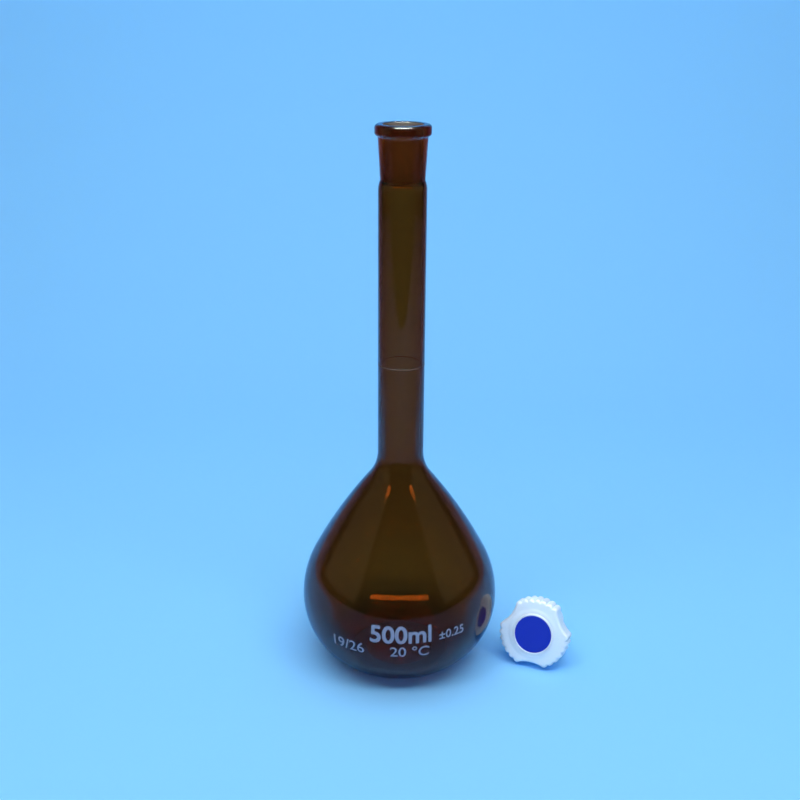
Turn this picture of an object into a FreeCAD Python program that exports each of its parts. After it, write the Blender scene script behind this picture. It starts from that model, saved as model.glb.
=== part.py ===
import FreeCAD, Part
import math
import os

os.makedirs("parts", exist_ok=True)

# Flask sizes in millimetres, with Z up and the middle of the base at the origin
total_height = 275.5
glass_wall = 1.75
bulb_radius = 50.35
bulb_widest_height = 35.5
bulb_lower_arc = 39.05
bulb_upper_arc = 50.7
bulb_upper_arc_degrees = 27.6
shoulder_arc = 260.0
neck_root_arc = 21.0
neck_radius = 11.41
base_corner_radius = 9.0
base_recess_radius = 17.5
base_recess_height = 1.6

# Graduation ring, flush in a shallow groove of the neck
mark_height = 161.5
mark_width = 0.7
mark_depth = 0.25

# Ground socket with a 1 in 10 taper and a beaded rim
joint_large_radius = 9.4
joint_length = 26.0
joint_slope = 0.05
socket_shank = 5.0
socket_shoulder_arc = 12.0
socket_groove_arc = 3.0
socket_groove_radius = 10.52
socket_groove_above_bore = 1.2
socket_inner_shoulder_height = 3.4
bead_radius = 13.13
bead_height = 6.3
bead_step = 1.55
bead_step_height = 2.3
bead_top_round = 1.6
mouth_round = 0.75

# Stopper sizes in its own frame: Z along its axis and out of its top face, z = 0 under the knob
knob_radius = 18.35
knob_height = 9.3
knob_top_round = 2.4
knob_lobes = 3
knob_side_degrees = 40.7
knob_side_depth = 1.0
knob_scallops = 7
knob_scallop_depth = 0.95
collar_radius = 12.2
collar_rise = 0.5
disc_radius = 9.65
disc_thickness = 1.7
disc_sunk = 0.35
disc_rim_width = 0.85
disc_rim_rise = 1.1
disc_plug_length = 3.5
disc_plug_wall = 1.1
stopper_stand_off = 2.4
stopper_wall = 1.35
stopper_floor = 1.6
snap_clearance = 0.05

# Where the stopper lies: middle of the two knob edges on the table, and its turn about Z
stopper_x = 71.16
stopper_y = -11.2
stopper_turn_degrees = 21.2


def point(radius, height):
    return FreeCAD.Vector(radius, 0, height)


def line(start, end):
    return Part.makeLine(start, end)


def arc(centre, radius, start_angle, end_angle):
    spots = []
    for angle in (start_angle, (start_angle + end_angle) / 2, end_angle):
        spots.append(point(centre[0] + radius * math.cos(angle), centre[1] + radius * math.sin(angle)))
    return Part.Arc(spots[0], spots[1], spots[2]).toShape()


def turned(edges):
    profile = Part.Face(Part.Wire(Part.__sortEdges__(edges)))
    return profile.revolve(FreeCAD.Vector(0, 0, 0), FreeCAD.Vector(0, 0, 1), 360)


def first(edge):
    return edge.firstVertex(True).Point


def last(edge):
    return edge.lastVertex(True).Point


# Arc centres of the bulb, each arc tangent to the next
upper_angle = math.radians(bulb_upper_arc_degrees)
lower_centre = (bulb_radius - bulb_lower_arc, bulb_widest_height)
upper_centre = (bulb_radius - bulb_upper_arc, bulb_widest_height)
shoulder_step = bulb_upper_arc - shoulder_arc
shoulder_centre = (
    upper_centre[0] + shoulder_step * math.cos(upper_angle),
    upper_centre[1] + shoulder_step * math.sin(upper_angle),
)
root_reach = shoulder_arc + neck_root_arc
root_across = neck_radius + neck_root_arc - shoulder_centre[0]
neck_start = shoulder_centre[1] + math.sqrt(root_reach**2 - root_across**2)
root_centre = (neck_radius + neck_root_arc, neck_start)
root_angle = math.atan2(neck_start - shoulder_centre[1], root_across)
corner_reach = bulb_lower_arc - base_corner_radius
corner_drop = bulb_widest_height - base_corner_radius
corner_centre = (lower_centre[0] + math.sqrt(corner_reach**2 - corner_drop**2), base_corner_radius)
corner_angle = math.atan2(-corner_drop, corner_centre[0] - lower_centre[0])


def bulb_side(inset):
    # Foot corner, belly, shoulder and neck root, all moved in by the same inset
    return [
        arc(corner_centre, base_corner_radius - inset, -math.pi / 2, corner_angle),
        arc(lower_centre, bulb_lower_arc - inset, corner_angle, 0),
        arc(upper_centre, bulb_upper_arc - inset, 0, upper_angle),
        arc(shoulder_centre, shoulder_arc - inset, upper_angle, root_angle),
        arc(root_centre, neck_root_arc + inset, root_angle + math.pi, math.pi),
    ]


def base_dome(rim_height):
    # Shallow dome pushed up into the base, from its edge to the axis
    dome_radius = (base_recess_radius**2 + base_recess_height**2) / (2 * base_recess_height)
    dome_centre = (0, rim_height + base_recess_height - dome_radius)
    edge_angle = math.atan2(dome_radius - base_recess_height, base_recess_radius)
    return arc(dome_centre, dome_radius, edge_angle, math.pi / 2)


# Bulb
outer_side = bulb_side(0)
inner_side = bulb_side(glass_wall)
outer_dome = base_dome(0)
inner_dome = base_dome(glass_wall)
bulb = turned(
    outer_side
    + inner_side
    + [
        outer_dome,
        inner_dome,
        line(last(outer_dome), last(inner_dome)),
        line(first(outer_dome), first(outer_side[0])),
        line(first(inner_dome), first(inner_side[0])),
        line(last(outer_side[-1]), last(inner_side[-1])),
    ]
)

# Neck tube with the groove for its graduation ring
bore_end = total_height - joint_length
groove_height = bore_end + socket_groove_above_bore
shoulder_reach = socket_shoulder_arc + socket_groove_arc
shoulder_across = socket_groove_radius + socket_groove_arc - neck_radius + socket_shoulder_arc
shoulder_start = groove_height - math.sqrt(shoulder_reach**2 - shoulder_across**2)
neck_end = shoulder_start - socket_shank
neck_bore = neck_radius - glass_wall


def ring(inner, outer, low, high):
    body = Part.makeCylinder(outer, high - low, point(0, low))
    return body.cut(Part.makeCylinder(inner, high - low, point(0, low)))


mark_low = mark_height - mark_width / 2
mark_high = mark_height + mark_width / 2
graduation_ring = ring(neck_radius - mark_depth, neck_radius, mark_low, mark_high)
neck_tube = ring(neck_bore, neck_radius, neck_start, neck_end).cut(graduation_ring)

# Ground socket: shank, shoulder, groove, outer cone, bead, mouth and tapered bore
shoulder_angle = math.atan2(groove_height - shoulder_start, shoulder_across)
shoulder_edge = arc((neck_radius - socket_shoulder_arc, shoulder_start), socket_shoulder_arc, 0, shoulder_angle)
groove_edge = arc(
    (socket_groove_radius + socket_groove_arc, groove_height),
    socket_groove_arc,
    shoulder_angle + math.pi,
    math.pi,
)
bead_low = total_height - bead_height
bead_side_low = bead_low + bead_step_height
bead_centre_height = total_height - bead_top_round
step_angle = 2 * math.atan(bead_step / bead_step_height)
step_arc = bead_step_height / (2 * math.sin(step_angle))
step_low_edge = arc((bead_radius - bead_step + step_arc, bead_low), step_arc, math.pi, math.pi - step_angle)
step_high_edge = arc((bead_radius - step_arc, bead_side_low), step_arc, -step_angle, 0)
bead_top_edge = arc((bead_radius - bead_top_round, bead_centre_height), bead_top_round, 0, math.pi / 2)
mouth_low = total_height - mouth_round
mouth_bore = joint_large_radius - joint_slope * mouth_round
mouth_edge = arc((mouth_bore + mouth_round, mouth_low), mouth_round, math.pi / 2, math.pi)
bore_small_radius = joint_large_radius - joint_slope * joint_length
inner_drop = neck_bore - bore_small_radius
inner_arc = (socket_inner_shoulder_height**2 + inner_drop**2) / (2 * inner_drop)
inner_start = bore_end - socket_inner_shoulder_height
inner_angle = math.asin(socket_inner_shoulder_height / inner_arc)
inner_edge = arc((neck_bore - inner_arc, inner_start), inner_arc, 0, inner_angle)
ground_socket = turned(
    [
        line(point(neck_radius, neck_end), first(shoulder_edge)),
        shoulder_edge,
        groove_edge,
        line(last(groove_edge), first(step_low_edge)),
        step_low_edge,
        step_high_edge,
        line(last(step_high_edge), first(bead_top_edge)),
        bead_top_edge,
        line(last(bead_top_edge), first(mouth_edge)),
        mouth_edge,
        line(last(mouth_edge), last(inner_edge)),
        inner_edge,
        line(first(inner_edge), point(neck_bore, neck_end)),
        line(point(neck_bore, neck_end), point(neck_radius, neck_end)),
    ]
)

# Stopper blank, turned about its own axis with a hollow cone
cone_length = stopper_stand_off + joint_length
cone_top_radius = joint_large_radius + joint_slope * stopper_stand_off
cone_tip_radius = joint_large_radius - joint_slope * joint_length
seat_radius = disc_radius + snap_clearance
rim_top = knob_height + disc_rim_rise
seat_height = rim_top - disc_sunk - disc_thickness
hollow_top_radius = cone_top_radius - stopper_wall
hollow_tip_radius = cone_tip_radius - stopper_wall
hollow_floor = stopper_floor - cone_length
rim_outer = seat_radius + disc_rim_width
knob_edge = arc((knob_radius - knob_top_round, knob_height - knob_top_round), knob_top_round, 0, math.pi / 2)
blank_points = [
    last(knob_edge),
    point(collar_radius + collar_rise, knob_height),
    point(collar_radius, knob_height + collar_rise),
    point(rim_outer, knob_height + collar_rise),
    point(rim_outer, rim_top),
    point(seat_radius, rim_top),
    point(seat_radius, seat_height),
    point(hollow_top_radius, seat_height),
    point(hollow_top_radius, 0),
    point(hollow_tip_radius, hollow_floor),
    point(0, hollow_floor),
    point(0, -cone_length),
    point(cone_tip_radius, -cone_length),
    point(cone_top_radius, 0),
    point(knob_radius, 0),
    first(knob_edge),
]
blank_edges = [knob_edge]
for start, end in zip(blank_points[:-1], blank_points[1:]):
    blank_edges.append(line(start, end))
stopper_blank = turned(blank_edges)


def knob_spot(radius, degrees):
    angle = math.radians(degrees)
    return FreeCAD.Vector(radius * math.cos(angle), radius * math.sin(angle), 0)


# Knob outline: scalloped lobes with a hollowed side between each two, the first side facing -Y
sector_degrees = 360.0 / knob_lobes
lobe_degrees = sector_degrees - knob_side_degrees
scallop_degrees = lobe_degrees / knob_scallops
corner_radius = knob_radius - knob_scallop_depth
half_side = math.radians(knob_side_degrees / 2)
side_chord_drop = corner_radius * math.cos(half_side)
outline_edges = []
for lobe in range(knob_lobes):
    side_middle = -90.0 + lobe * sector_degrees
    side_start = knob_spot(corner_radius, side_middle - knob_side_degrees / 2)
    side_bottom = knob_spot(side_chord_drop - knob_side_depth, side_middle)
    side_end = knob_spot(corner_radius, side_middle + knob_side_degrees / 2)
    outline_edges.append(Part.Arc(side_start, side_bottom, side_end).toShape())
    for scallop in range(knob_scallops):
        from_angle = side_middle + knob_side_degrees / 2 + scallop * scallop_degrees
        valley_one = knob_spot(corner_radius, from_angle)
        crest = knob_spot(knob_radius, from_angle + scallop_degrees / 2)
        valley_two = knob_spot(corner_radius, from_angle + scallop_degrees)
        outline_edges.append(Part.Arc(valley_one, crest, valley_two).toShape())
outline = Part.Face(Part.Wire(outline_edges)).extrude(FreeCAD.Vector(0, 0, rim_top))
knob_waste = Part.makeCylinder(2 * knob_radius, rim_top).cut(outline)
stopper_shell = stopper_blank.cut(knob_waste)

# Snap-in disc that closes the hollow stopper
plug_radius = hollow_top_radius - snap_clearance
plug_low = seat_height - disc_plug_length
disc_plate = Part.makeCylinder(disc_radius, disc_thickness, point(0, seat_height))
disc_plug = ring(plug_radius - disc_plug_wall, plug_radius, plug_low, seat_height)
stopper_disc = disc_plate.fuse(disc_plug).removeSplitter()

# Lay the stopper on the table, on the first scallop either side of a hollowed side and on the cone's end
half_scallop = math.radians(scallop_degrees / 2)
scallop_half_width = corner_radius * math.sin(half_scallop)
scallop_rise = knob_radius - corner_radius * math.cos(half_scallop)
scallop_radius = (scallop_half_width**2 + scallop_rise**2) / (2 * scallop_rise)
knob_drop = (knob_radius - scallop_radius) * math.cos(half_side + half_scallop) + scallop_radius
tilt = math.atan2(knob_drop - cone_tip_radius, cone_length)
turn = math.radians(stopper_turn_degrees)
across = FreeCAD.Vector(math.cos(turn), -math.sin(turn), 0)
outward = FreeCAD.Vector(
    -math.sin(turn) * math.cos(tilt),
    -math.cos(turn) * math.cos(tilt),
    math.sin(tilt),
)
upward = outward.cross(across)
lying = FreeCAD.Rotation(across, upward, outward, "XYZ")
contact = lying.multVec(FreeCAD.Vector(0, -knob_drop, 0))
place = FreeCAD.Placement(FreeCAD.Vector(stopper_x, stopper_y, 0).sub(contact), lying)

solids = {
    "bulb": bulb,
    "neck_tube": neck_tube,
    "ground_socket": ground_socket,
    "graduation_ring": graduation_ring,
    "stopper_shell": stopper_shell.transformed(place.toMatrix(), True),
    "stopper_disc": stopper_disc.transformed(place.toMatrix(), True),
}
for name, solid in solids.items():
    solid.exportStep(os.path.join("parts", name + ".step"))
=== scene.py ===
"""Looks of an amber volumetric flask with its stopper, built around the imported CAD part."""

import math

import bmesh
import bpy
import numpy as np
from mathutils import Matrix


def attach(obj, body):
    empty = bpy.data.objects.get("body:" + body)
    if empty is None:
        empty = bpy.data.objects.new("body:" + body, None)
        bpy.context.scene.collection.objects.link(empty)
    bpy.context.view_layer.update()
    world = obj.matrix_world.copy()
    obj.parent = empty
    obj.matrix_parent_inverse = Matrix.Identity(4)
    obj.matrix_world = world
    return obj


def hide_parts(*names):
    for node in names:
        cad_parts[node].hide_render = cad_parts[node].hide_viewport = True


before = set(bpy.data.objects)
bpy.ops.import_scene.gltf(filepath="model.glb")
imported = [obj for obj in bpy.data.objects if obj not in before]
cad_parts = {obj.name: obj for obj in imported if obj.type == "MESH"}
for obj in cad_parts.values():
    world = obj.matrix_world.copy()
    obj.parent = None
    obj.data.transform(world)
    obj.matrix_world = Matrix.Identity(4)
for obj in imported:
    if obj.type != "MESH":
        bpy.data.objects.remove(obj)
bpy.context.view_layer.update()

bl_info = {
    "name": "Volumetric Flask",
    "version": (1, 0, 0),
    "blender": (4, 5, 0),
    "location": "View3D > Sidebar > Flask",
    "description": "Builds an amber volumetric flask, its printed figures, its stopper and a studio",
    "category": "Add Mesh",
}

MM = 0.001

# Ground joint of the socket: mouth radius, length, and loss of radius per length
JOINT_RADIUS = 9.4 * MM
JOINT_LENGTH = 26.0 * MM
JOINT_SLOPE = 0.05

# Dome pushed up into the base
DOME_RADIUS = 17.5 * MM
DOME_RISE = 1.6 * MM

# Knob of the stopper: its lobes, and the scallops on each of them
LOBES = 3
SCALLOPS = 7


# Settings


class FlaskSettings(bpy.types.PropertyGroup):
    """Sizes and glass of the vessel."""

    height: bpy.props.FloatProperty(
        name="Height", description="Base to rim", default=0.2755, unit="LENGTH"
    )
    wall: bpy.props.FloatProperty(
        name="Wall", description="Glass thickness", default=0.00175, unit="LENGTH"
    )
    bulb_radius: bpy.props.FloatProperty(
        name="Bulb Radius", description="Widest outside radius", default=0.05035, unit="LENGTH"
    )
    neck_radius: bpy.props.FloatProperty(
        name="Neck Radius", description="Outside radius of the neck", default=0.01141, unit="LENGTH"
    )
    mark_height: bpy.props.FloatProperty(
        name="Ring Mark", description="Height of the ring mark", default=0.1615, unit="LENGTH"
    )
    tint: bpy.props.FloatVectorProperty(
        name="Tint",
        description="Colour that the glass lets through",
        default=(0.737, 0.472, 0.062),
        subtype="COLOR",
        size=3,
        min=0.0,
        max=1.0,
    )
    depth: bpy.props.FloatProperty(
        name="Tint Strength", description="Absorption per metre", default=1700.0, min=0.0
    )
    ground: bpy.props.FloatProperty(
        name="Ground Bore", description="Roughness of the ground bore", default=0.8, min=0.0, max=1.0
    )
    slices: bpy.props.IntProperty(
        name="Slices", description="Steps round the axis", default=192, min=24, max=240
    )


class PrintSettings(bpy.types.PropertyGroup):
    """Figures printed on the bulb."""

    colour: bpy.props.FloatVectorProperty(
        name="Colour",
        description="Colour of the fired enamel",
        default=(0.225, 0.27, 0.36),
        subtype="COLOR",
        size=3,
        min=0.0,
        max=1.0,
    )
    baseline: bpy.props.FloatProperty(
        name="Baseline", description="Height of the upper figures", default=0.0350, unit="LENGTH"
    )
    second_baseline: bpy.props.FloatProperty(
        name="Second Baseline", description="Height of the lower figures", default=0.0270, unit="LENGTH"
    )


class StopperSettings(bpy.types.PropertyGroup):
    """Sizes of the stopper and where it lies."""

    knob_radius: bpy.props.FloatProperty(
        name="Knob Radius", description="Radius over the scallops", default=0.01835, unit="LENGTH"
    )
    knob_height: bpy.props.FloatProperty(
        name="Knob Height", description="Thickness of the knob", default=0.0093, unit="LENGTH"
    )
    side_angle: bpy.props.FloatProperty(
        name="Side Angle",
        description="Width of each hollowed side",
        default=math.radians(40.7),
        subtype="ANGLE",
    )
    side_depth: bpy.props.FloatProperty(
        name="Side Depth", description="Depth of each hollowed side", default=0.001, unit="LENGTH"
    )
    scallop_depth: bpy.props.FloatProperty(
        name="Scallop Depth", description="Crest to valley", default=0.00095, unit="LENGTH"
    )
    rim_rise: bpy.props.FloatProperty(
        name="Rim Rise", description="Rim of the disc above the knob", default=0.0011, unit="LENGTH"
    )
    disc_radius: bpy.props.FloatProperty(
        name="Disc Radius", description="Radius of the coloured disc", default=0.00965, unit="LENGTH"
    )
    disc_thickness: bpy.props.FloatProperty(
        name="Disc Thickness", description="Thickness of the disc's plate", default=0.0017, unit="LENGTH"
    )
    disc_sunk: bpy.props.FloatProperty(
        name="Disc Sunk", description="Disc's face below the rim", default=0.00035, unit="LENGTH"
    )
    cone_radius: bpy.props.FloatProperty(
        name="Cone Radius", description="Cone's radius under the knob", default=0.00952, unit="LENGTH"
    )
    tip_radius: bpy.props.FloatProperty(
        name="Tip Radius", description="Radius of the cone's end", default=0.0081, unit="LENGTH"
    )
    cone_length: bpy.props.FloatProperty(
        name="Cone Length", description="Knob to the cone's end", default=0.0284, unit="LENGTH"
    )
    place: bpy.props.FloatVectorProperty(
        name="Place",
        description="Middle of the knob's two contacts with the table",
        default=(0.07116, -0.0112, 0.0),
        subtype="TRANSLATION",
        size=3,
    )
    turn: bpy.props.FloatProperty(
        name="Turn",
        description="Turn of the stopper about the vertical",
        default=math.radians(21.2),
        subtype="ANGLE",
    )


class StageSettings(bpy.types.PropertyGroup):
    """Floor, light and camera."""

    floor: bpy.props.FloatVectorProperty(
        name="Floor",
        description="Colour of the floor and backdrop",
        default=(0.235, 0.60, 0.98),
        subtype="COLOR",
        size=3,
        min=0.0,
        max=1.0,
    )
    camera_place: bpy.props.FloatVectorProperty(
        name="Camera",
        description="Camera position",
        default=(-0.00049, -0.51414, 0.33152),
        subtype="TRANSLATION",
        size=3,
    )
    pitch: bpy.props.FloatProperty(
        name="Pitch", description="Camera angle below the horizon", default=0.35276, subtype="ANGLE"
    )
    roll: bpy.props.FloatProperty(
        name="Roll", description="Camera roll", default=math.radians(0.45), subtype="ANGLE"
    )
    lens: bpy.props.FloatProperty(name="Lens", description="Focal length in millimetres", default=49.9)


# Surfaces


def arc_points(centre, radius, start, end, count):
    """Points at equal angles on a circle arc: centre plus radius times (cos, sin) of the angle."""
    angle = np.linspace(start, end, count)
    return np.column_stack((centre[0] + radius * np.cos(angle), centre[1] + radius * np.sin(angle)))


def line_points(start, end, count):
    """Points at equal steps from start to end."""
    step = np.linspace(0.0, 1.0, count)[:, None]
    return np.asarray(start) * (1.0 - step) + np.asarray(end) * step


def joined(parts):
    """The parts one after another, without points closer than a micrometre to the one before."""
    micrometre = 1e-6
    points = np.vstack(parts)
    gap = np.hypot(*np.diff(points, axis=0).T)
    return points[np.r_[True, gap > micrometre]]


def grid_mesh(name, grid, material):
    """A closed surface from a grid of points: rows run along the profile and columns round the axis.

    Point (i, j) is joined to (i + 1, j + 1), the columns wrap round, and the first and last rows
    are closed with one pole point each, at the mean of the row.
    """
    rows, columns = grid.shape[:2]
    poles = np.stack((grid[0].mean(axis=0), grid[-1].mean(axis=0)))
    points = np.vstack((grid.reshape(-1, 3), poles))
    row, column = np.meshgrid(np.arange(rows - 1), np.arange(columns), indexing="ij")
    here = row * columns + column
    beside = row * columns + (column + 1) % columns
    quads = np.stack((here, beside, beside + columns, here + columns), axis=-1).reshape(-1, 4)
    around = np.arange(columns)
    next_one = (around + 1) % columns
    last_row = (rows - 1) * columns
    low_pole = np.full(columns, rows * columns)
    low_cap = np.stack((low_pole, next_one, around), axis=-1)
    high_cap = np.stack((low_pole + 1, last_row + around, last_row + next_one), axis=-1)
    loops = np.concatenate((quads.ravel(), low_cap.ravel(), high_cap.ravel()))
    sizes = np.concatenate((np.full(len(quads), 4), np.full(2 * columns, 3)))
    mesh = bpy.data.meshes.new(name)
    mesh.vertices.add(len(points))
    mesh.vertices.foreach_set("co", points.astype(np.float32).ravel())
    mesh.loops.add(len(loops))
    mesh.loops.foreach_set("vertex_index", loops.astype(np.int32))
    mesh.polygons.add(len(sizes))
    mesh.polygons.foreach_set("loop_start", np.r_[0, np.cumsum(sizes)[:-1]].astype(np.int32))
    mesh.update(calc_edges=True)
    mesh.validate()
    mesh.shade_smooth()
    piece = bpy.data.objects.new(name, mesh)
    bpy.context.collection.objects.link(piece)
    mesh.materials.append(material)
    return piece


def ring_mesh(name, grid, material):
    """A closed ring from a grid of points that wraps round in both of its directions."""
    rows, columns = grid.shape[:2]
    row, column = np.meshgrid(np.arange(rows), np.arange(columns), indexing="ij")
    beside = (column + 1) % columns
    this_row = row * columns
    next_row = (row + 1) % rows * columns
    corners = (this_row + column, this_row + beside, next_row + beside, next_row + column)
    quads = np.stack(corners, axis=-1).reshape(-1, 4)
    mesh = bpy.data.meshes.new(name)
    mesh.from_pydata(grid.reshape(-1, 3).tolist(), [], quads.tolist())
    mesh.shade_smooth()
    mesh.materials.append(material)
    piece = bpy.data.objects.new(name, mesh)
    bpy.context.collection.objects.link(piece)
    return piece


def turned_grid(profile, slices):
    """Surface of revolution: each profile point (radius, height) turned about Z in equal slices."""
    angle = np.linspace(0.0, 2.0 * math.pi, slices, endpoint=False)
    grid = np.empty((len(profile), slices, 3))
    grid[:, :, 0] = profile[:, :1] * np.cos(angle)
    grid[:, :, 1] = profile[:, :1] * np.sin(angle)
    grid[:, :, 2] = profile[:, 1:]
    return grid


def bulb_frame(settings):
    """Centres and angles of the tangent arcs that make the bulb's side, in metres and radians."""
    radius = settings.bulb_radius
    widest, lower, upper, shoulder = 35.5 * MM, 39.05 * MM, 50.7 * MM, 260.0 * MM
    root, corner = 21.0 * MM, 9.0 * MM
    turn = math.radians(27.6)
    lower_at = (radius - lower, widest)
    upper_at = (radius - upper, widest)
    shoulder_at = (
        upper_at[0] + (upper - shoulder) * math.cos(turn),
        upper_at[1] + (upper - shoulder) * math.sin(turn),
    )
    across = settings.neck_radius + root - shoulder_at[0]
    start = shoulder_at[1] + math.sqrt((shoulder + root) ** 2 - across**2)
    root_at = (settings.neck_radius + root, start)
    root_turn = math.atan2(start - shoulder_at[1], across)
    drop = widest - corner
    corner_at = (lower_at[0] + math.sqrt((lower - corner) ** 2 - drop**2), corner)
    corner_turn = math.atan2(-drop, corner_at[0] - lower_at[0])
    return [
        (corner_at, corner, -math.pi / 2, corner_turn, 1),
        (lower_at, lower, corner_turn, 0.0, 1),
        (upper_at, upper, 0.0, turn, 1),
        (shoulder_at, shoulder, turn, root_turn, 1),
        (root_at, root, root_turn + math.pi, math.pi, -1),
    ]


def bulb_side(settings, inset):
    """Bulb profile from foot to neck, moved in by inset: concentric arcs tangent to each other."""
    counts = (14, 26, 20, 26, 18)
    parts = []
    for (centre, radius, start, end, way), count in zip(bulb_frame(settings), counts):
        parts.append(arc_points(centre, radius - way * inset, start, end, count))
    return joined(parts)


def base_dome(rim_height):
    """Shallow dome in the base: a circle arc from beside the axis down to its edge."""
    radius = (DOME_RADIUS**2 + DOME_RISE**2) / (2 * DOME_RISE)
    edge = math.atan2(radius - DOME_RISE, DOME_RADIUS)
    pole_gap = 0.004
    return arc_points((0.0, rim_height + DOME_RISE - radius), radius, math.pi / 2 - pole_gap, edge, 16)


def socket_outside(settings):
    """Outside of the socket upwards: shoulder and groove arcs, cone, the bead's step and its round."""
    top = settings.height
    groove_r, groove_arc, shoulder_arc = 10.52 * MM, 3.0 * MM, 12.0 * MM
    groove_above_bore = 1.2 * MM
    groove_z = top - JOINT_LENGTH + groove_above_bore
    across = groove_r + groove_arc - settings.neck_radius + shoulder_arc
    shoulder_z = groove_z - math.sqrt((shoulder_arc + groove_arc) ** 2 - across**2)
    turn = math.atan2(groove_z - shoulder_z, across)
    bead_r, bead_height, bead_round = 13.13 * MM, 6.3 * MM, 1.6 * MM
    step, step_height = 1.55 * MM, 2.3 * MM
    low = top - bead_height
    step_turn = 2.0 * math.atan(step / step_height)
    step_arc = step_height / (2.0 * math.sin(step_turn))
    shoulder_at = (settings.neck_radius - shoulder_arc, shoulder_z)
    shoulder = arc_points(shoulder_at, shoulder_arc, 0.0, turn, 12)
    groove = arc_points((groove_r + groove_arc, groove_z), groove_arc, turn + math.pi, math.pi, 10)
    hollow = arc_points((bead_r - step + step_arc, low), step_arc, math.pi, math.pi - step_turn, 10)
    round_under = arc_points((bead_r - step_arc, low + step_height), step_arc, -step_turn, 0.0, 10)
    cone = line_points(groove[-1], hollow[0], 8)
    over = arc_points((bead_r - bead_round, top - bead_round), bead_round, 0.0, math.pi / 2, 14)
    return joined([shoulder, groove, cone, hollow, round_under, over])


def socket_inside(settings):
    """Inside of the socket downwards: mouth round, ground bore with its taper, inner shoulder arc."""
    top = settings.height
    lip, rise = 0.75 * MM, 3.4 * MM
    mouth_at = (JOINT_RADIUS - JOINT_SLOPE * lip + lip, top - lip)
    mouth = arc_points(mouth_at, lip, math.pi / 2, math.pi, 10)
    bore = settings.neck_radius - settings.wall
    drop = bore - (JOINT_RADIUS - JOINT_SLOPE * JOINT_LENGTH)
    radius = (rise**2 + drop**2) / (2 * drop)
    low = top - JOINT_LENGTH - rise
    shoulder = arc_points((bore - radius, low), radius, math.asin(rise / radius), 0.0, 12)
    ground = line_points(mouth[-1], shoulder[0], 14)
    return mouth, ground, shoulder


def vessel_profile(settings):
    """Whole glass profile, from the axis under the base, up the outside and down the inside."""
    outside = bulb_side(settings, 0.0)
    inside = bulb_side(settings, settings.wall)[::-1]
    socket = socket_outside(settings)
    mouth, ground, shoulder = socket_inside(settings)
    neck_out = line_points(outside[-1], socket[0], 40)
    neck_in = line_points(shoulder[-1], inside[0], 40)
    under = base_dome(0.0)
    floor = base_dome(settings.wall)[::-1]
    return joined(
        [
            under,
            line_points(under[-1], outside[0], 4),
            outside,
            neck_out,
            socket,
            mouth,
            ground,
            shoulder,
            neck_in,
            inside,
            line_points(inside[-1], floor[0], 4),
            floor,
        ]
    )


# Materials


def new_material(name):
    """A node material with one principled shader."""
    material = bpy.data.materials.new(name)
    material.use_nodes = True
    return material, material.node_tree.nodes["Principled BSDF"]


def calculated(tree, operation, *values):
    """Output of a math node; each value is a number or the socket that feeds the input."""
    node = tree.nodes.new("ShaderNodeMath")
    node.operation = operation
    for slot, value in zip(node.inputs, values):
        if isinstance(value, bpy.types.NodeSocket):
            tree.links.new(value, slot)
        else:
            slot.default_value = value
    return node.outputs["Value"]


def ramp(tree, value, start, end):
    """Output of a map range node: 0 at start and before it, 1 at end and past it."""
    node = tree.nodes.new("ShaderNodeMapRange")
    node.inputs["From Min"].default_value = start
    node.inputs["From Max"].default_value = end
    tree.links.new(value, node.inputs["Value"])
    return node.outputs["Result"]


def position(tree, kind):
    """Outputs X, Y and Z of the shaded point, in coordinates of that kind."""
    place = tree.nodes.new("ShaderNodeTexCoord")
    split = tree.nodes.new("ShaderNodeSeparateXYZ")
    tree.links.new(place.outputs[kind], split.inputs["Vector"])
    return split.outputs


def glass_material(name, settings):
    """Amber glass: the tint is absorbed along the path, and the socket's bore is ground matt.

    The roughness is one value where the distance from Z is under the bore's and the height is
    above the bore's end, and zero elsewhere.
    """
    material, shader = new_material(name)
    shader.inputs["Base Color"].default_value = (1.0, 1.0, 1.0, 1.0)
    shader.inputs["IOR"].default_value = 1.5
    shader.inputs["Transmission Weight"].default_value = 1.0
    tree = material.node_tree
    bore_limit = JOINT_RADIUS + 0.05 * MM
    place = position(tree, "Object")
    flat = tree.nodes.new("ShaderNodeCombineXYZ")
    reach = tree.nodes.new("ShaderNodeVectorMath")
    reach.operation = "LENGTH"
    tree.links.new(place["X"], flat.inputs["X"])
    tree.links.new(place["Y"], flat.inputs["Y"])
    tree.links.new(flat.outputs["Vector"], reach.inputs[0])
    inside = calculated(tree, "LESS_THAN", reach.outputs["Value"], bore_limit)
    above = calculated(tree, "GREATER_THAN", place["Z"], settings.height - JOINT_LENGTH)
    ground = calculated(tree, "MULTIPLY", inside, above)
    rough = calculated(tree, "MULTIPLY", ground, settings.ground)
    tree.links.new(rough, shader.inputs["Roughness"])
    volume = tree.nodes.new("ShaderNodeVolumeAbsorption")
    volume.inputs["Color"].default_value = (*settings.tint, 1.0)
    volume.inputs["Density"].default_value = settings.depth
    tree.links.new(volume.outputs["Volume"], tree.nodes["Material Output"].inputs["Volume"])
    return material


def plain_material(name, colour, roughness, **values):
    """One uniform finish; each further value is set on the shader's socket of that name."""
    material, shader = new_material(name)
    shader.inputs["Base Color"].default_value = (*colour, 1.0)
    shader.inputs["Roughness"].default_value = roughness
    for socket, value in values.items():
        shader.inputs[socket.replace("_", " ")].default_value = value
    return material


# Pieces


class FLASK_OT_vessel(bpy.types.Operator):
    """Glass vessel: bulb, neck and ground socket as one closed surface of revolution"""

    bl_idname = "flask.vessel"
    bl_label = "Glass Vessel"

    def execute(self, context):
        settings = context.scene.flask
        glass = glass_material("amber_glass", settings)
        vessel = grid_mesh("vessel", turned_grid(vessel_profile(settings), settings.slices), glass)
        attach(vessel, "flask")
        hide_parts("bulb", "neck_tube", "ground_socket")
        return {"FINISHED"}


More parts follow.
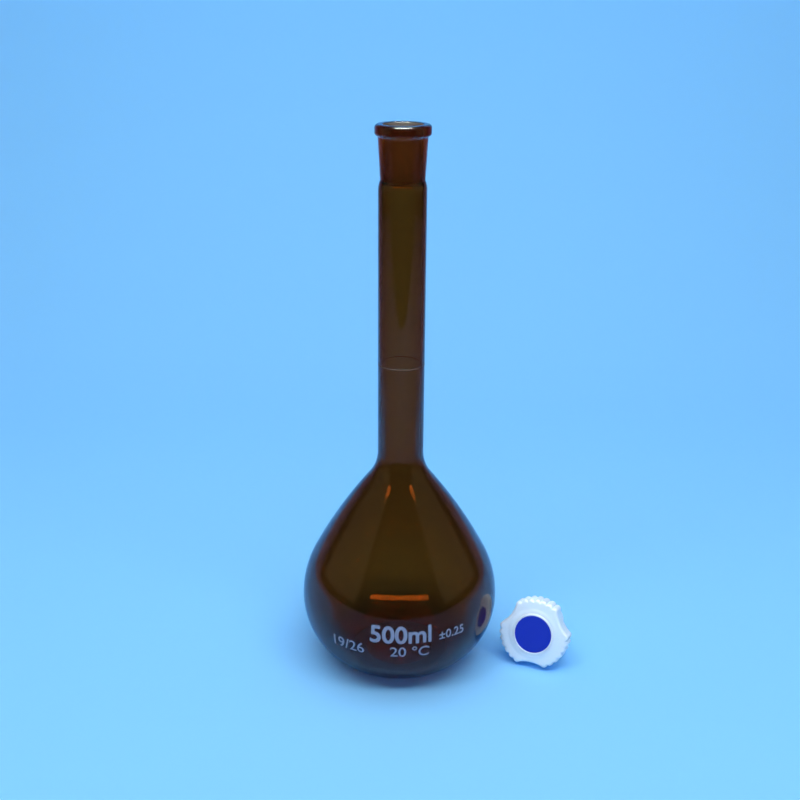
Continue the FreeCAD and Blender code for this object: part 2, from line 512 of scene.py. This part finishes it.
def flat_figures(name, text, size, weight):
    """Figures lying in the XY plane: a thin closed mesh, cut in square cells so that it can bend."""
    half_thickness, merged_within, cell = 0.015 * MM, 0.004 * MM, 0.87 * MM
    flat_angle = 0.01
    curve = bpy.data.curves.new(name + "_outline", "FONT")
    curve.body = text
    curve.size = size
    curve.align_x = "CENTER"
    curve.resolution_u = 6
    curve.offset = weight
    curve.extrude = half_thickness
    outline = bpy.data.objects.new(name + "_outline", curve)
    bpy.context.collection.objects.link(outline)
    bpy.context.view_layer.update()
    evaluated = outline.evaluated_get(bpy.context.evaluated_depsgraph_get())
    mesh = bpy.data.meshes.new_from_object(evaluated)
    bpy.data.objects.remove(outline)
    fine = bmesh.new()
    fine.from_mesh(mesh)
    bmesh.ops.remove_doubles(fine, verts=fine.verts[:], dist=merged_within)
    bmesh.ops.dissolve_limit(fine, angle_limit=flat_angle, verts=fine.verts[:], edges=fine.edges[:])
    reach = np.array([vertex.co[:2] for vertex in fine.verts])
    for axis, direction in enumerate(((1.0, 0.0, 0.0), (0.0, 1.0, 0.0))):
        for cut in np.arange(reach[:, axis].min(), reach[:, axis].max(), cell)[1:]:
            everything = fine.verts[:] + fine.edges[:] + fine.faces[:]
            bmesh.ops.bisect_plane(fine, geom=everything, plane_co=(cut, cut, 0.0), plane_no=direction)
    bmesh.ops.triangulate(fine, faces=fine.faces[:])
    bmesh.ops.recalc_face_normals(fine, faces=fine.faces[:])
    fine.to_mesh(mesh)
    fine.free()
    return mesh


def printed_text(name, mesh, middle, baseline, settings, material):
    """Flat figures wrapped on the bulb: across becomes the angle about Z and up follows the glass."""
    lift = 0.03 * MM
    points = np.empty(len(mesh.vertices) * 3, dtype=np.float32)
    mesh.vertices.foreach_get("co", points)
    points = points.reshape(-1, 3).astype(float)
    side = bulb_side(settings, 0.0)
    length = np.r_[0.0, np.cumsum(np.hypot(*np.diff(side, axis=0).T))]
    along = np.interp(baseline, side[:, 1], length) + points[:, 1]
    radius = np.interp(along, length, side[:, 0]) + lift + points[:, 2]
    height = np.interp(along, length, side[:, 1])
    base_radius = float(np.interp(baseline, side[:, 1], side[:, 0]))
    angle = middle + points[:, 0] / base_radius
    wrapped = np.column_stack((radius * np.sin(angle), -radius * np.cos(angle), height))
    mesh.vertices.foreach_set("co", wrapped.astype(np.float32).ravel())
    mesh.name = name
    mesh.materials.clear()
    mesh.materials.append(material)
    mesh.update()
    piece = bpy.data.objects.new(name, mesh)
    bpy.context.collection.objects.link(piece)
    return piece


class FLASK_OT_marks(bpy.types.Operator):
    """Ring mark on the neck and plain capacity figures on the bulb"""

    bl_idname = "flask.marks"
    bl_label = "Marks"

    def execute(self, context):
        settings = context.scene.flask
        marks = context.scene.flask_print
        enamel = plain_material("mark_enamel", tuple(marks.colour), 0.5)
        # Name, figures, height and added stroke in millimetres, degrees from the front, baseline
        figures = (
            ("figures_capacity", "500ml", 12.6, 0.3, 1.0, marks.baseline),
            ("figures_tolerance", "±0.25", 6.4, 0.1, 31.0, marks.baseline),
            ("figures_joint", "19/26", 8.4, 0.08, -31.0, marks.second_baseline),
            ("figures_temperature", "20 °C", 8.2, 0.08, 6.0, marks.second_baseline),
        )
        half_height, inner_lift, outer_lift = 0.2 * MM, 0.005 * MM, 0.04 * MM
        low, high = settings.mark_height - half_height, settings.mark_height + half_height
        near, far = settings.neck_radius + inner_lift, settings.neck_radius + outer_lift
        band = np.array([(near, low), (far, low), (far, high), (near, high)])
        etched = plain_material("etched_ring", (0.05, 0.03, 0.015), 0.6)
        ring = ring_mesh("ring_mark", turned_grid(band, settings.slices), etched)
        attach(ring, "flask")
        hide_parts("graduation_ring")
        for name, text, size, weight, middle, baseline in figures:
            mesh = flat_figures(name, text, size * MM, weight * MM)
            piece = printed_text(name, mesh, math.radians(middle), baseline, settings, enamel)
            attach(piece, "flask")
        return {"FINISHED"}


def scallop_arc(settings):
    """Angle, radius and distance from the axis of one scallop's arc, from valley to valley."""
    corner = settings.knob_radius - settings.scallop_depth
    turn = (2.0 * math.pi / LOBES - settings.side_angle) / SCALLOPS
    half_width = corner * math.sin(turn / 2)
    rise = settings.knob_radius - corner * math.cos(turn / 2)
    radius = (half_width**2 + rise**2) / (2 * rise)
    return turn, radius, settings.knob_radius - radius


def circle_reach(distance, radius, angle, way):
    """Distance from the axis to a circle's far side (way 1) or near side (way -1).

    The circle's centre lies at that distance from the axis, and each angle is measured from it.
    """
    return distance * np.cos(angle) + way * np.sqrt(radius**2 - (distance * np.sin(angle)) ** 2)


def knob_outline(settings, angle):
    """Knob radius at each angle: scallop arcs on three lobes and one hollow arc between each two."""
    side, depth = settings.side_angle, settings.side_depth
    corner = settings.knob_radius - settings.scallop_depth
    half = corner * math.sin(side / 2)
    hollow = (half**2 + depth**2) / (2 * depth)
    hollow_at = corner * math.cos(side / 2) - depth + hollow
    scallop, bump, bump_at = scallop_arc(settings)
    place = np.mod(angle + math.pi / 2 + side / 2, 2.0 * math.pi / LOBES)
    across_side = np.clip(place - side / 2, -side / 2, side / 2)
    across_scallop = np.mod(place - side, scallop) - scallop / 2
    hollow_radius = circle_reach(hollow_at, hollow, across_side, -1.0)
    bump_radius = circle_reach(bump_at, bump, across_scallop, 1.0)
    return np.where(place < side, hollow_radius, bump_radius)


def stopper_matrix(settings):
    """Rotation and place of the lying stopper: it rests on two knob scallops and its cone's end."""
    scallop, bump, bump_at = scallop_arc(settings)
    drop = bump_at * math.cos(settings.side_angle / 2 + scallop / 2) + bump
    tilt = math.atan2(drop - settings.tip_radius, settings.cone_length)
    turn, flat = settings.turn, math.cos(tilt)
    across = np.array((math.cos(turn), -math.sin(turn), 0.0))
    outward = np.array((-math.sin(turn) * flat, -math.cos(turn) * flat, math.sin(tilt)))
    upward = np.cross(outward, across)
    turned = np.column_stack((across, upward, outward))
    return turned, np.array(settings.place) - turned @ np.array((0.0, -drop, 0.0))


def placed(grid, settings):
    """Grid points in the stopper's own frame, moved to where it lies."""
    turned, shift = stopper_matrix(settings)
    return grid @ turned.T + shift


def rim_and_seat(settings):
    """Heights of the rim's top and of the disc's seat, above the underside of the knob."""
    rim = settings.knob_height + settings.rim_rise
    return rim, rim - settings.disc_sunk - settings.disc_thickness


def shell_grid(settings):
    """Rows of points from the disc's seat over the rim, the collar and the knob to the cone's end.

    A row is either a circle of the turned profile or the knob's outline moved in by a quarter round.
    """
    slices = 504
    angle = np.linspace(0.0, 2.0 * math.pi, slices, endpoint=False)
    outline = knob_outline(settings, angle)
    high, length, tip = settings.knob_height, settings.cone_length, settings.tip_radius
    rim, seat = rim_and_seat(settings)
    clearance, rim_width, lip, middle = 0.05 * MM, 0.9 * MM, 0.3 * MM, 0.5 * MM
    bore = settings.disc_radius + clearance
    outer = bore + rim_width
    collar, collar_rise, collar_slope = 11.4 * MM, 0.5 * MM, 2.2 * MM
    top_round, low_round, root_round, tip_round = 1.5 * MM, 0.6 * MM, 0.7 * MM, 0.3 * MM
    fall = np.linspace(0.0, 1.0, 7)
    collar_edge = np.column_stack(
        (collar + collar_slope * fall, high + collar_rise * (0.5 + 0.5 * np.cos(math.pi * fall)))
    )
    root_at = (settings.cone_radius + root_round, -root_round)
    root = arc_points(root_at, root_round, math.pi / 2, math.pi, 6)
    end = arc_points((tip - tip_round, tip_round - length), tip_round, 0.0, -math.pi / 2, 5)
    cap = joined(
        [
            line_points((middle, seat), (bore, seat), 5),
            line_points((bore, seat), (bore, rim - lip), 3),
            arc_points((bore + lip, rim - lip), lip, math.pi, math.pi / 2, 5),
            arc_points((outer - lip, rim - lip), lip, math.pi / 2, 0.0, 5),
            line_points((outer, rim - lip), (outer, high + collar_rise), 3),
            line_points((outer, high + collar_rise), (collar, high + collar_rise), 3),
            collar_edge,
        ]
    )
    flank = line_points(root[-1], end[0], 8)
    cone = joined([root, flank, end, line_points(end[-1], (middle, -length), 4)])

    def circles(profile):
        """Rows with the same radius all round."""
        return np.repeat(profile[:, None, :], slices, axis=1)

    def outlines(radius, height):
        """Rows with a radius for each angle."""
        return np.stack(np.broadcast_arrays(radius, height), axis=-1)

    turn = np.linspace(0.0, math.pi / 2, 7)[:, None]
    step = np.linspace(0.0, 1.0, 5)[1:-1, None]
    face = outlines(cap[-1, 0] * (1.0 - step) + (outline - top_round) * step, high)
    short_of_sin, short_of_cos = 1.0 - np.sin(turn), 1.0 - np.cos(turn)
    upper = outlines(outline - top_round * short_of_sin, high - top_round * short_of_cos)
    side = outlines(outline, (high - top_round) * (1.0 - step) + low_round * step)
    lower = outlines(outline - low_round * short_of_cos, low_round * short_of_sin)
    rows = np.concatenate((circles(cap), face, upper, side, lower, circles(cone)))
    radius, height = rows[..., 0], rows[..., 1]
    return np.stack((radius * np.cos(angle), radius * np.sin(angle), height), axis=-1)


def disc_grid(settings):
    """Disc plate turned about the stopper's axis, with a rounded upper edge."""
    slices = 192
    seat_gap, middle, edge = 0.02 * MM, 0.3 * MM, 0.25 * MM
    rim, seat = rim_and_seat(settings)
    low, top = seat + seat_gap, rim - settings.disc_sunk
    radius = settings.disc_radius
    profile = joined(
        [
            line_points((middle, low), (radius, low), 4),
            line_points((radius, low), (radius, top - edge), 3),
            arc_points((radius - edge, top - edge), edge, 0.0, math.pi / 2, 6),
            line_points((radius - edge, top), (middle, top), 5),
        ]
    )
    return turned_grid(profile, slices)


class FLASK_OT_stopper(bpy.types.Operator):
    """Plastic stopper: knob with scalloped lobes and hollow cone, and its coloured disc"""

    bl_idname = "flask.stopper"
    bl_label = "Stopper"

    def execute(self, context):
        settings = context.scene.flask_stopper
        white = plain_material(
            "white_plastic",
            # The blue in this base colour is painted blue bounce light from the floor on the white
            # plastic.
            (0.80, 0.91, 1.0),
            0.38,
            Subsurface_Weight=0.6,
            Subsurface_Scale=0.004,
            Subsurface_Radius=(1.0, 1.0, 1.0),
        )
        shell = grid_mesh("stopper", placed(shell_grid(settings)[::-1], settings), white)
        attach(shell, "stopper")
        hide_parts("stopper_shell")
        blue = plain_material("blue_plastic", (0.003, 0.03, 0.44), 0.4, Specular_IOR_Level=0.3)
        disc = grid_mesh("stopper_cap_disc", placed(disc_grid(settings), settings), blue)
        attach(disc, "stopper")
        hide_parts("stopper_disc")
        return {"FINISHED"}


def colour_mix(tree, factor, first, second):
    """Output of a colour mix from first to second; each is a colour or the socket that feeds it."""
    node = tree.nodes.new("ShaderNodeMix")
    node.data_type = "RGBA"
    tree.links.new(factor, node.inputs["Factor"])
    for slot, value in (("A", first), ("B", second)):
        if isinstance(value, bpy.types.NodeSocket):
            tree.links.new(value, node.inputs[slot])
        else:
            node.inputs[slot].default_value = (*value, 1.0)
    return node.outputs["Result"]


def backdrop_material(colour):
    """Plain matt floor; what mirrors show of it is a painted reflection in a deeper blue.

    There, its part nearer than the object and its far sides are a dim, warm painted shade.
    """
    # Painted reflection colours: a deeper blue, and a dim, warm painted shade.
    deep, dim = (0.15, 0.48, 0.95), (0.37, 0.22, 0.31)
    near_start, near_end = -0.03, -0.08
    side_start, side_end = 0.32, 0.5
    material, shader = new_material("backdrop")
    shader.inputs["Roughness"].default_value = 0.9
    shader.inputs["Specular IOR Level"].default_value = 0.1
    tree = material.node_tree
    path = tree.nodes.new("ShaderNodeLightPath").outputs
    place = position(tree, "Object")
    # Mask of the painted shade in reflections: the floor nearer than the object, and far to the sides.
    near = ramp(tree, place["Y"], near_start, near_end)
    sides = ramp(tree, calculated(tree, "ABSOLUTE", place["X"]), side_start, side_end)
    either = calculated(tree, "MAXIMUM", near, sides)
    painted_reflection = colour_mix(tree, either, deep, dim)
    not_through = calculated(tree, "SUBTRACT", path["Is Glossy Ray"], path["Is Transmission Ray"])
    mirrored = calculated(tree, "MAXIMUM", not_through, 0.0)
    tree.links.new(colour_mix(tree, mirrored, colour, painted_reflection), shader.inputs["Base Color"])
    return material


def pale_world(colour):
    """Dim surroundings that look as pale as the floor when seen straight on.

    Through the glass they look so near the horizon: fully where the direction rises by less than
    low, and no longer where it rises by more than high.
    """
    high, low = 0.35, 0.1
    world = bpy.data.worlds.new("studio")
    world.use_nodes = True
    tree = world.node_tree
    dim = tree.nodes["Background"]
    dim.inputs["Color"].default_value = (0.7, 0.85, 1.0, 1.0)
    dim.inputs["Strength"].default_value = 0.04
    pale = tree.nodes.new("ShaderNodeBackground")
    pale.inputs["Color"].default_value = (*colour, 1.0)
    path = tree.nodes.new("ShaderNodeLightPath").outputs
    rise = position(tree, "Generated")["Z"]
    through = calculated(tree, "MULTIPLY", ramp(tree, rise, high, low), path["Is Transmission Ray"])
    seen = calculated(tree, "MAXIMUM", path["Is Camera Ray"], through)
    mix = tree.nodes.new("ShaderNodeMixShader")
    tree.links.new(seen, mix.inputs["Fac"])
    tree.links.new(dim.outputs["Background"], mix.inputs[1])
    tree.links.new(pale.outputs["Background"], mix.inputs[2])
    tree.links.new(mix.outputs["Shader"], tree.nodes["World Output"].inputs["Surface"])
    return world


def area_light(name, place, target, size, power, colour):
    """A soft rectangular light at place, facing target."""
    light = bpy.data.lights.new(name, "AREA")
    light.shape = "RECTANGLE"
    light.size, light.size_y = size
    light.energy = power
    light.color = colour
    lamp = bpy.data.objects.new(name, light)
    bpy.context.collection.objects.link(lamp)
    lamp.location = place
    way = np.array(target) - np.array(place)
    sideways = math.hypot(way[0], way[1])
    heading = math.atan2(way[1], way[0]) - math.pi / 2 if sideways > 0.0 else 0.0
    lamp.rotation_euler = (math.atan2(sideways, -way[2]), 0.0, heading)
    return lamp


def swept_backdrop(colour):
    """Floor that bends up into a wall behind the object: a line, a quarter circle and a line."""
    front, bend, bend_radius, top, half_width = -0.62, 0.32, 0.4, 1.6, 1.2
    wall = bend + bend_radius
    sweep = joined(
        [
            line_points((front, 0.0), (bend, 0.0), 8),
            arc_points((bend, bend_radius), bend_radius, -math.pi / 2, 0.0, 24),
            line_points((wall, bend_radius), (wall, top), 6),
        ]
    )
    wide = np.linspace(-half_width, half_width, 9)
    grid = np.empty((len(sweep), len(wide), 3))
    grid[:, :, 0] = wide
    grid[:, :, 1] = sweep[:, :1]
    grid[:, :, 2] = sweep[:, 1:]
    rows, columns = grid.shape[:2]
    row, column = np.meshgrid(np.arange(rows - 1), np.arange(columns - 1), indexing="ij")
    here = row * columns + column
    quads = np.stack((here, here + 1, here + columns + 1, here + columns), axis=-1).reshape(-1, 4)
    mesh = bpy.data.meshes.new("backdrop")
    mesh.from_pydata(grid.reshape(-1, 3).tolist(), [], quads.tolist())
    mesh.shade_smooth()
    mesh.materials.append(backdrop_material(colour))
    floor = bpy.data.objects.new("backdrop", mesh)
    bpy.context.collection.objects.link(floor)
    return floor


def studio_lights():
    """Soft lights; some of them are kept out of reflections, out of the glass or off matt surfaces."""
    white, warm, cool = (0.96, 0.98, 1.0), (1.0, 0.82, 0.45), (0.26, 0.48, 1.0)
    strip = area_light("strip", (0.0, -0.5, 1.0), (0.0, 0.0, 0.1), (1.5, 0.2), 7.5, white)
    glint = area_light("glint", (0.0, -0.48, 0.96), (0.0, 0.0, 0.1), (1.4, 0.18), 20.0, white)
    card = area_light("rim_card", (0.0, -0.38, 1.15), (0.0, 0.0, 0.25), (1.0, 0.24), 70.0, white)
    area_light("left", (-0.75, -0.15, 0.55), (0.0, 0.0, 0.3), (0.9, 0.9), 0.5, warm)
    area_light("right", (0.75, -0.15, 0.55), (0.0, 0.0, 0.3), (0.9, 0.9), 0.5, warm)
    overhead = area_light("overhead", (0.0, -0.1, 1.2), (0.0, -0.1, 0.0), (1.4, 1.0), 7.5, white)
    back = area_light("back", (0.0, 0.1, 1.0), (0.0, 0.72, 0.7), (1.6, 0.4), 2.0, white)
    front = area_light("front", (0.1, -0.85, 0.45), (0.07, 0.0, 0.02), (0.5, 0.5), 2.3, cool)
    for lamp in (strip, glint, overhead, back, front):
        lamp.visible_glossy = False
    for lamp in (strip, card, back, front):
        lamp.visible_transmission = False
    for lamp in (glint, card):
        lamp.visible_diffuse = False


class FLASK_OT_stage(bpy.types.Operator):
    """Plain pale floor with a swept backdrop, soft studio lights and the camera"""

    bl_idname = "flask.stage"
    bl_label = "Studio"

    def execute(self, context):
        settings = context.scene.flask_stage
        floor = swept_backdrop(tuple(settings.floor))
        context.scene.world = pale_world(tuple(settings.floor))
        studio_lights()

        lens = bpy.data.cameras.new("camera")
        lens.sensor_width = 36.0
        lens.lens = settings.lens
        camera = bpy.data.objects.new("camera", lens)
        bpy.context.collection.objects.link(camera)
        camera.location = settings.camera_place
        camera.rotation_mode = "ZXY"
        camera.rotation_euler = (math.pi / 2 - settings.pitch, 0.0, settings.roll)
        context.scene.camera = camera
        context.scene.view_settings.view_transform = "Standard"
        return {"FINISHED"}


class FLASK_PT_panel(bpy.types.Panel):
    """Buttons and settings of the flask"""

    bl_label = "Volumetric Flask"
    bl_idname = "FLASK_PT_panel"
    bl_space_type = "VIEW_3D"
    bl_region_type = "UI"
    bl_category = "Flask"

    def draw(self, context):
        layout = self.layout
        for group in (
            context.scene.flask,
            context.scene.flask_print,
            context.scene.flask_stopper,
            context.scene.flask_stage,
        ):
            box = layout.box()
            for name in group.__annotations__:
                box.prop(group, name)
        for operator in (FLASK_OT_vessel, FLASK_OT_marks, FLASK_OT_stopper, FLASK_OT_stage):
            layout.operator(operator.bl_idname)


CLASSES = (
    FlaskSettings,
    PrintSettings,
    StopperSettings,
    StageSettings,
    FLASK_OT_vessel,
    FLASK_OT_marks,
    FLASK_OT_stopper,
    FLASK_OT_stage,
    FLASK_PT_panel,
)


def register():
    """Registers the classes and hangs each settings group on the scene."""
    for cls in CLASSES:
        bpy.utils.register_class(cls)
    bpy.types.Scene.flask = bpy.props.PointerProperty(type=FlaskSettings)
    bpy.types.Scene.flask_print = bpy.props.PointerProperty(type=PrintSettings)
    bpy.types.Scene.flask_stopper = bpy.props.PointerProperty(type=StopperSettings)
    bpy.types.Scene.flask_stage = bpy.props.PointerProperty(type=StageSettings)


def unregister():
    """Takes the settings off the scene and unregisters the classes."""
    del bpy.types.Scene.flask_stage
    del bpy.types.Scene.flask_stopper
    del bpy.types.Scene.flask_print
    del bpy.types.Scene.flask
    for cls in reversed(CLASSES):
        bpy.utils.unregister_class(cls)


def main():
    register()
    bpy.ops.flask.vessel()
    bpy.ops.flask.marks()
    bpy.ops.flask.stopper()
    bpy.ops.flask.stage()


if __name__ == "__main__":
    main()
